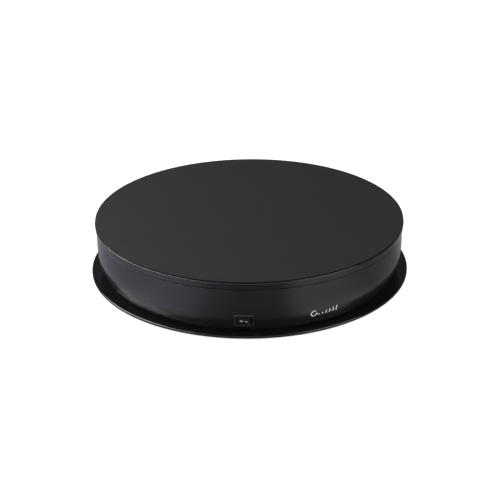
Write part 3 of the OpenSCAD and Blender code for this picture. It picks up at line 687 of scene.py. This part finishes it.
def make_drum():
    """Wall and deck with a flat pad behind the switch, screw posts, stays and gussets."""
    bm = drum_wall()
    pad = bmesh.new()
    slab(pad, [(*SWITCH_PAD, 1, -4), (*SWITCH_PAD, 1, 0)], SWITCH)
    bm = cut(join(bm, pad), drum_holes())

    post_r, stay_r, stay_circle_r = 4.0, 3.5, 88.0
    under_deck = DECK_Z + SUNK
    for place in around(6, SCREW_CIRCLE_R):
        revolve(bm, [(SCREW_HOLE_R, BOSS_TOP), (post_r, BOSS_TOP), (post_r, under_deck),
                     (SCREW_HOLE_R, under_deck)], 32, place)
    for place in around(6, stay_circle_r)[1:]:
        revolve(bm, [(0, PLATE_TOP), (stay_r, PLATE_TOP), (stay_r, under_deck), (0, under_deck)], 32,
                place)
    for place in around(12, 0, 15):
        soft_block(bm, (112, -RIB_HALF_T, 27), (121.6, RIB_HALF_T, under_deck), 0.2, place)
    piece("fine_drum_housing", bm, "drum_housing", smooth=35)


def base_disc():
    """Flange with its rounded rim, and the ring that centres the drum."""
    ring_r, ring_in_r = 114.0, 112.4
    bm = bmesh.new()
    corners = [(0, PLATE_Z), (60, PLATE_Z), (105, PLATE_Z), (128, PLATE_Z), (FLANGE_R, PLATE_Z),
               (FLANGE_R, PLATE_TOP), (127, PLATE_TOP), (119, PLATE_TOP), (ring_r, PLATE_TOP),
               (ring_r, BOSS_TOP), (ring_in_r, BOSS_TOP), (ring_in_r, PLATE_TOP), (60, PLATE_TOP),
               (0, PLATE_TOP)]
    radii = [0, 0, 0, 0, 0.4, 0.7, 0, 0, 0, 0.3, 0.3, 0, 0, 0]
    revolve(bm, rounded(corners, radii, 6), LATHE)
    return bm


def base_bosses():
    """Screw bosses, posts for the board and the two ears that hold the hinge pin."""
    boss_r, post_r, post_top = 5.5, 3.0, 7.4
    bosses = bmesh.new()
    for place in around(6, SCREW_CIRCLE_R):
        revolve(bosses, rounded([(0, 3), (boss_r, 3), (boss_r, BOSS_TOP), (0, BOSS_TOP)], [0, 0, 0.3, 0]),
                48, place)
    for x, y in BOARD_SCREWS:
        revolve(bosses, [(0, 3), (post_r, 3), (post_r, post_top), (0, post_top)], 32, at(x, y))
    for side in (-1, 1):
        slab(bosses, [(5, 3, 0.3, 2.5), (5, 3, 0.3, 5.3), (4.5, 2.5, 0.3, 5.6)], at(DOOR_X[0], side * 31.5))
    return bosses


def base_holes():
    """Counterbored screw holes, sockets for the feet and the door's opening."""
    head_hole_r, shank_hole_r, foot_play = 3.1, 1.55, 0.1
    knuckle_room, door_play, flare = 1.7, 0.3, 1.2
    holes = bmesh.new()
    for place in around(6, SCREW_CIRCLE_R):
        flared(holes, head_hole_r, PLATE_Z, BASE_SCREW_Z, place, step=(shank_hole_r, 9))
    for place in around(6, FOOT_CIRCLE_R, 30):
        flared(holes, FOOT_R + foot_play, PLATE_Z, FOOT_TOP, place, 0.2)
    low_x, high_x = DOOR_X[0] - knuckle_room, DOOR_X[1] + door_play
    width, depth = high_x - low_x, 2 * (DOOR_HALF_W + door_play)
    slab(holes, [(width + 2 * flare, depth + 2 * flare, 1.4, PLATE_Z - 1),
                 (width, depth, 0.4, PLATE_Z + 0.2), (width, depth, 0.4, PLATE_TOP + 1)],
         at((low_x + high_x) / 2, 0))
    return holes


def make_base_plate():
    bm = cut(join(base_disc(), base_bosses()), base_holes())
    notch = bmesh.new()
    flared(notch, NOTCH_R, PLATE_Z, NOTCH_TOP, at(DOOR_X[1], 0), 0.3)
    piece("fine_base_plate", cut(bm, notch), "base_plate", smooth=35)


def make_feet():
    dish_r, dish_z = 4.2, 0.2
    bm = bmesh.new()
    corners = [(0, dish_z), (dish_r, dish_z), (dish_r + 0.4, 0), (FOOT_R, 0), (FOOT_R, FOOT_TOP),
               (0, FOOT_TOP)]
    for place in around(6, FOOT_CIRCLE_R, 30):
        revolve(bm, rounded(corners, [0, 0, 0.15, 0.5, 0.2, 0]), 64, place)
    piece("fine_rubber_feet", bm, "rubber_feet")


def make_door():
    """Panel with a rounded edge, a knuckle round the hinge pin, a finger notch and stiffening ribs."""
    low_x, high_x = DOOR_X
    width, depth = high_x - low_x, 2 * DOOR_HALF_W
    edge = 0.3
    knuckle_r, pin_r, pin_z = 1.4, 0.65, 3.2
    hinge = at(low_x, 0, pin_z) @ ALONG_Y
    bm = bmesh.new()
    slab(bm, [(width - 2 * edge, depth - 2 * edge, 0.3, PLATE_Z),
              (width - 0.6 * edge, depth - 0.6 * edge, 0.4, 1.89),
              (width, depth, 0.5, PLATE_Z + edge), (width, depth, 0.5, 3.6),
              (width - 0.4, depth - 0.4, 0.4, PLATE_TOP)], at((low_x + high_x) / 2, 0))
    knuckle = bmesh.new()
    outline = [(pin_r, -DOOR_HALF_W), (knuckle_r, -DOOR_HALF_W), (knuckle_r, DOOR_HALF_W),
               (pin_r, DOOR_HALF_W)]
    revolve(knuckle, rounded(outline, [0, 0.15, 0.15, 0]), 48, hinge)
    cutters = bmesh.new()
    revolve(cutters, [(0, -31), (pin_r, -31), (pin_r, 31), (0, 31)], 32, hinge)
    flared(cutters, NOTCH_R, PLATE_Z, NOTCH_TOP, at(high_x, 0), 0.3)
    bm = cut(join(bm, knuckle), cutters)
    for y in (-22, 0, 22):
        soft_block(bm, (low_x + 8, y - 0.6, PLATE_TOP - SUNK), (high_x - 6, y + 0.6, 4.05), 0.1)
    piece("fine_battery_door", bm, "battery_door", smooth=35)


# ---------------------------------------------------------------- screws


def screw_head(head_r, head_h):
    """Pan head below z 0 with a cross recess."""
    head = bmesh.new()
    outline = rounded([(0, -head_h), (head_r, -head_h), (head_r, 0), (0, 0)], [0, head_h * 0.45, 0.05, 0])
    revolve(head, outline, 48)
    recess = bmesh.new()
    for turn in (0, 90):
        cross = bmesh.new()
        slab(cross, [(head_r * 0.5, head_r * 0.2, 0.05, -head_h * 0.35),
                     (head_r * 1.25, head_r * 0.3, 0.05, -head_h - 0.1)],
             Matrix.Rotation(math.radians(turn), 4, "Z"), 2)
        recess = join(recess, cross) if turn else cross
    return cut(head, recess)


def add_screw(bm, radius, head_r, head_h, length, place):
    """Head, then a ridged shank above it with a pointed end; the head's seat is at z 0."""
    screw = screw_head(head_r, head_h)
    pitch, core = radius * 0.45, radius * 0.8
    thread = [(0, -0.1), (radius, -0.1)]
    for k in range(1, int((length - radius) / pitch)):
        thread += [(core, (k - 0.5) * pitch), (radius, k * pitch)]
    revolve(screw, thread + [(core, length - radius * 0.8), (0.2 * radius, length), (0, length)], 24)
    screw.transform(place)
    mesh = bpy.data.meshes.new("screw")
    screw.to_mesh(mesh)
    screw.free()
    bm.from_mesh(mesh)
    bpy.data.meshes.remove(mesh)


def motor_screw_places():
    return [at(SHAFT_X, GEARBOX_Y) @ Matrix.Rotation(math.radians(angle), 4, "Z") @ at(MOTOR_SCREW_R, 0)
            for angle in MOTOR_SCREW_ANGLES]


def make_screws():
    """Each kind: shank radius, head radius and height, length, and where its heads sit."""
    flip = Matrix.Rotation(math.pi, 4, "X")
    kinds = {
        "base_screws": (1.4, 2.8, 1.8, 12, [p @ at(0, 0, BASE_SCREW_Z) for p in around(6, SCREW_CIRCLE_R)]),
        "ring_gear_screws": (1.25, 2.4, 1.4, 3.3, [p @ at(0, 0, 40.5) for p in around(6, 79)]),
        "board_screws": (1.0, 1.9, 1.2, 4.5, [at(x, y, 9.0) @ flip for x, y in BOARD_SCREWS]),
        "battery_box_screws": (0.8, 1.8, 1.2, 2.6, [at(x, y, BOX_FOOT_TOP) @ flip for x, y in BOX_SCREWS]),
        "motor_screws": (1.4, 2.8, 1.2, 6, [at(0, 0, MOTOR_SCREW_Z) @ p @ flip
                                            for p in motor_screw_places()]),
        "retaining_screw": (1.5, 3.2, 1.8, 8, [at(0, 0, 42.4) @ flip]),
    }
    for node, (radius, head_r, head_h, length, places) in kinds.items():
        bm = bmesh.new()
        for place in places:
            add_screw(bm, radius, head_r, head_h, length, place)
        piece("fine_" + node, bm, node)


# ---------------------------------------------------------------- bearing


def make_balls():
    steps = 24
    turns = [math.pi * (k / steps - 0.5) for k in range(1, steps)]
    outline = [(0, -BALL_R)] + [(BALL_R * math.cos(a), BALL_R * math.sin(a)) for a in turns] + [(0, BALL_R)]
    bm = bmesh.new()
    for place in around(BALL_COUNT, BALL_CIRCLE_R):
        revolve(bm, outline, 40, place @ at(0, 0, BALL_Z))
    piece("fine_bearing_balls", bm, "bearing_balls", smooth=60)


# ---------------------------------------------------------------- switch


def make_switch_housing():
    """Snap-in body, rounded bezel and the well that the rocker tilts in."""
    width, height = SWITCH_BODY
    sections = [(width, height, 0.3, -12), (width, height, 0.3, 0), (14.7, 10.2, 1.1, 0),
                (15, 10.5, 1.2, 0.15), (15, 10.5, 1.2, 1.5), (14.87, 10.37, 1.15, 1.75),
                (14.6, 10.1, 1.05, 1.93), (14.2, 9.7, 0.9, 2.0), (12.8, 8.4, 0.5, 2.0),
                (12.4, 8.0, 0.45, 1.9), (12.2, 7.8, 0.4, 1.65), (12.2, 7.8, 0.4, -4.5)]
    bm = bmesh.new()
    slab(bm, sections, SWITCH)
    piece("fine_switch_housing", bm, "switch_housing", smooth=45)


def make_rocker():
    """Rocker with its V-shaped face on an axle, and the off ring and on bar raised on it."""
    half, end_z, mid_z, foot_z, half_w = 5.2, 2.7, 1.7, -3.5, 3.6
    axle_r, axle_half = 0.8, 4.2
    low, steps = math.asin(foot_z / half), 8
    turns = [low * k / steps for k in range(steps + 1)]
    arc = [(half * math.cos(a), half * math.sin(a)) for a in turns]
    outline = [(-half, end_z), (0, mid_z), (half, end_z)] + arc + [(-x, z) for x, z in reversed(arc)]
    bm = bmesh.new()
    skin(bm, [[(x, y, z) for x, z in outline] for y in (-half_w, half_w)], ROCKER)
    bevel_sharp(bm, 0.28, 4)
    axle = [(0, -axle_half), (axle_r, -axle_half), (axle_r, axle_half), (0, axle_half)]
    revolve(bm, rounded(axle, [0, 0.15, 0.15, 0]), 32, ROCKER @ ALONG_Y)
    piece("fine_switch_rocker", bm, "switch_rocker", smooth=30)

    slope, mark_x = math.atan((end_z - mid_z) / half), 1.85
    sunk, proud = -0.02, 0.13
    valley = ROCKER @ at(0, 0, mid_z)
    bm = bmesh.new()
    ring = [(0.6, sunk), (0.95, sunk), (0.95, proud), (0.6, proud)]
    revolve(bm, rounded(ring, [0, 0, 0.05, 0.05], 2), 48,
            valley @ Matrix.Rotation(slope, 4, "Y") @ at(-mark_x, 0))
    slab(bm, [(1.7, 0.46, 0.1, sunk), (1.7, 0.46, 0.1, 0.08), (1.6, 0.36, 0.06, proud)],
         valley @ Matrix.Rotation(-slope, 4, "Y") @ at(mark_x, 0))
    piece("fine_rocker_marks", bm, "rocker_marks")


# ---------------------------------------------------------------- print on the wall

PRINT_AZIMUTH = math.radians(29)
PRINT_Z = 13.6
PRINT_T = 0.04


def on_wall(u, v, out):
    """Point on the drum's wall, u to the right and v up from the print's middle, out from the surface."""
    z = PRINT_Z + v
    angle = PRINT_AZIMUTH + u / wall_radius(PRINT_Z)
    r = wall_radius(z) + out
    return (r * math.sin(angle), -r * math.cos(angle), z)


def print_stroke(bm, spine):
    """Adds a thin printed stroke through (u, v, across u, across v) points; across is half its width."""
    rings = []
    for u, v, du, dv in spine:
        rings.append([on_wall(u - du, v - dv, -PRINT_T), on_wall(u + du, v + dv, -PRINT_T),
                      on_wall(u + du, v + dv, PRINT_T), on_wall(u - du, v - dv, PRINT_T)])
    skin(bm, rings)


def print_arrow(bm):
    """Three quarters of a ring that ends in a narrowing head."""
    middle_u, radius, half = -8.6, 2.3, 0.42
    ring_start, ring_sweep, head_sweep, head_half = 60, 270, 42, 1.25
    ring_steps, head_steps, tip = 36, 8, 0.01
    parts = [(ring_start + ring_sweep * k / ring_steps, half) for k in range(ring_steps + 1)]
    head_start = ring_start + ring_sweep
    head = [(head_start + head_sweep * k / head_steps, head_half * (1 - k / head_steps) + tip)
            for k in range(head_steps + 1)]
    for stroke in (parts, head):
        spine = []
        for degrees, width in stroke:
            a = math.radians(degrees)
            spine.append((middle_u + radius * math.cos(a), radius * math.sin(a),
                          width * math.cos(a), width * math.sin(a)))
        print_stroke(bm, spine)


def make_print():
    """A turning arrow and a row of rising ticks, both plain signs of a turning stand's speed."""
    bm = bmesh.new()
    print_arrow(bm)
    ticks, first_u, pitch, foot, low_top, rise, half, steps = 6, -4.2, 3.0, -2.0, -0.8, 0.7, 0.45, 4
    for k in range(ticks):
        u, top = first_u + pitch * k, low_top + rise * k
        print_stroke(bm, [(u, foot + (top - foot) * step / steps, half, 0) for step in range(steps + 1)])
    piece("wall_print", bm, slot="mark_white", look="print_white", body="base")


# ---------------------------------------------------------------- power inlet


def make_inlet():
    """Block inside the wall, a round nose through it, and the socket with its centre pin."""
    nose_r, nose_root, socket_r, socket_depth, mouth = 4.6, 116.5, 3.15, 9.5, 0.4
    pin_r, pin_back = 1.0, 1.2
    along = at(0, 0, INLET_Z) @ ALONG_Y
    floor_y, tip = NOSE_Y - socket_depth, NOSE_Y - pin_back
    bm = bmesh.new()
    soft_block(bm, (-4.5, 106, 9), (4.5, 117, 20), 0.4)
    nose = bmesh.new()
    outline = [(0, nose_root), (nose_r, nose_root), (nose_r, NOSE_Y), (0, NOSE_Y)]
    revolve(nose, rounded(outline, [0, 0, 0.35, 0]), 96, along)
    bore = bmesh.new()
    revolve(bore, [(0, floor_y), (socket_r, floor_y), (socket_r, NOSE_Y - mouth),
                   (socket_r + mouth + 1, NOSE_Y + 1), (0, NOSE_Y + 1)], 96, along)
    piece("fine_power_inlet", cut(join(bm, nose), bore), "power_inlet", smooth=35)
    bm = bmesh.new()
    outline = [(0, floor_y), (pin_r, floor_y), (pin_r, tip), (0, tip)]
    revolve(bm, rounded(outline, [0, 0, 0.5, 0], 6), 48, along)
    piece("fine_inlet_pin", bm, "inlet_pin")


# ---------------------------------------------------------------- battery compartment

BOX_X, BOX_HALF_W, BOX_T, BOX_TOP = (32.0, 92.0), 30.0, 1.5, 21.4
BOX_FOOT_X, BOX_FOOT_HALF_W, BOX_FOOT_TOP = (37.0, 87.0), 35.0, 5.4
BOX_NOTCH_TOP = 6.0
CELL_R, CELL_L = 7.1, 49.0
CAP_R, CAP_H = 2.75, 1.4
CELL_X = (37.4, 86.6)
CELL_COUNT, CELL_PITCH, CELL_Z = 4, 14.8, 11.5
SPRING_SPACE = 4.9


def make_battery_box():
    """Tray open below, with a notch over the hinge, two feet with screw holes and ribs between the cells."""
    middle, size = sum(BOX_X) / 2, BOX_X[1] - BOX_X[0]
    width, depth = size + 2 * BOX_T, 2 * (BOX_HALF_W + BOX_T)
    edge, hole_r, rib_z = 0.4, 1.0, 16.4
    bm = bmesh.new()
    slab(bm, [(width, depth, 1.2, PLATE_TOP), (width, depth, 1.2, BOX_TOP - edge),
              (width - 0.6 * edge, depth - 0.6 * edge, 1.1, BOX_TOP - 0.3 * edge),
              (width - 2 * edge, depth - 2 * edge, 0.9, BOX_TOP)], at(middle, 0))
    feet = bmesh.new()
    soft_block(feet, (BOX_FOOT_X[0], -BOX_FOOT_HALF_W, PLATE_TOP),
               (BOX_FOOT_X[1], BOX_FOOT_HALF_W, BOX_FOOT_TOP), 0.3)
    hollow = bmesh.new()
    slab(hollow, [(size, 2 * BOX_HALF_W, 0.8, PLATE_TOP - 1),
                  (size, 2 * BOX_HALF_W, 0.8, BOX_TOP - BOX_T)], at(middle, 0))
    bm = cut(join(bm, feet), hollow)
    openings = bmesh.new()
    slab(openings, [(6, 80, 0.1, PLATE_TOP - 1), (6, 80, 0.1, BOX_NOTCH_TOP)], at(BOX_X[0] - 2, 0))
    for x, y in BOX_SCREWS:
        revolve(openings, [(0, PLATE_TOP - 1), (hole_r, PLATE_TOP - 1), (hole_r, BOX_FOOT_TOP + 1),
                           (0, BOX_FOOT_TOP + 1)], 32, at(x, y))
    bm = cut(bm, openings)
    for i in (-1, 0, 1):
        y = i * CELL_PITCH
        soft_block(bm, (BOX_X[0] + 1, y - 0.6, rib_z), (BOX_X[1] - 1, y + 0.6, BOX_TOP - BOX_T + SUNK), 0.2)
    piece("fine_battery_box", bm, "battery_box", smooth=35)


def cell_places():
    """Cells lie along X, every other one turned end for end."""
    places = []
    for i in range(CELL_COUNT):
        turn = Matrix.Rotation(math.radians(90 if i % 2 == 0 else -90), 4, "Y")
        places.append(at(CELL_X[i % 2], (i - (CELL_COUNT - 1) / 2) * CELL_PITCH, CELL_Z) @ turn)
    return places


def spring_path():
    """Conical coil that fills the space behind a cell, wide end first."""
    coils, turn_steps, wide_r, narrow_r, end_gap = 4, 32, 5.2, 2.8, 0.4
    path = []
    for k in range(coils * turn_steps + 1):
        t = k / (coils * turn_steps)
        r, a = wide_r + (narrow_r - wide_r) * t, math.tau * k / turn_steps
        z = end_gap + (SPRING_SPACE - 2 * end_gap) * t - SPRING_SPACE
        path.append(Vector((r * math.cos(a), r * math.sin(a), z)))
    return path


def make_cells():
    """Sleeve, metal ends, insulating card under the cap and contact spring of every cell."""
    sleeve, ends, card, springs = (bmesh.new() for _ in range(4))
    cap_z, card_z, wire_r = 47.0, 48.0, 0.35
    sleeve_outline = [(5.4, 0.15), (CELL_R, 0), (CELL_R, CELL_L), (5.6, CELL_L)]
    base_outline = [(0, 0), (5.3, 0), (5.3, 1), (0, 1)]
    cap_outline = [(0, cap_z), (CAP_R, cap_z), (CAP_R, CELL_L + CAP_H), (0, CELL_L + CAP_H)]
    card_outline = [(0, card_z), (5.6, card_z), (5.6, card_z + 0.7), (0, card_z + 0.7)]
    for place in cell_places():
        revolve(sleeve, rounded(sleeve_outline, [0, 0.7, 0.7, 0]), 96, place)
        revolve(ends, rounded(base_outline, [0, 0.3, 0, 0]), 64, place)
        revolve(ends, rounded(cap_outline, [0, 0, 0.45, 0]), 64, place)
        revolve(card, card_outline, 64, place)
        sweep(springs, [place @ p for p in spring_path()], wire_r, 10)
    piece("fine_cell_sleeves", sleeve, "battery_cells")
    piece("fine_cell_ends", ends, "battery_cells", slot="spring_steel")
    piece("fine_cell_cards", card, "battery_cells", slot="mark_white")
    piece("fine_battery_springs", springs, "battery_springs", smooth=60)


# ---------------------------------------------------------------- wiring

WIRE_R = 0.7
# Points that each lead runs through, from end to end
WIRES = {
    "red_wires": [
        [(3.5, -101.5, 20), (4, -94, 16), (16, -84, 7), (30, -66, 5), (52, -48, 5), (62, -40, 6),
         (64, -31.6, 9)],
        [(-3.5, -101.5, 20), (-6, -92, 14), (-12, -80, 6), (-24, -58, 5), (-34, -36, 5), (-37, -22, 5.2),
         (SHAFT_X, -15, 5.4)]],
    "black_wires": [
        [(64, 31.6, 9), (60, 42, 6), (44, 58, 5), (26, 74, 8), (19, 84, 11.6), (18, 91, 12.5),
         (18, 96.9, 12.5)],
        [(SHAFT_X, 1, 5.4), (-42, 14, 5), (-40, 36, 5), (-30, 62, 6), (-16, 77, 10), (-6, 81.5, 10.8),
         (-2, 86, 9.95), (-2, 89.9, 9.95)]],
}


def make_wires():
    for node, paths in WIRES.items():
        bm = bmesh.new()
        for points in paths:
            sweep(bm, smooth_path(points, 12), WIRE_R, 16)
        piece("fine_" + node, bm, node, smooth=60)


make_top_panel()
make_carrier()
make_drum()
make_base_plate()
make_feet()
make_door()
make_screws()
make_balls()
make_switch_housing()
make_rocker()
make_print()
make_inlet()
make_battery_box()
make_cells()
make_wires()

# CAD nodes that keep their shape, each with the width that its edges are rounded by
REFINED = {
    "lower_race": 0.25, "upper_race": 0.25, "centre_spindle": 0.3, "thrust_washer": 0.08,
    "retaining_washer": 0.2, "gearbox_case": 0.4, "gearbox_cover": 0.2, "motor_can": 0.4,
    "motor_terminals": 0.06, "gear_pin": 0.08, "gear_clip": 0.08, "switch_terminals": 0.1,
    "circuit_board": 0.1, "board_capacitor": 0.3, "board_regulator": 0.2, "battery_contacts": 0.1,
    "door_hinge_pin": 0.1, "ring_gear": 0.12, "hub_bush": 0.2, "ball_cage": 0.15, "compound_gear": 0.1,
    "motor_pinion": 0.08, "output_shaft": 0.15,
}
for node, width in REFINED.items():
    refine(node, width)
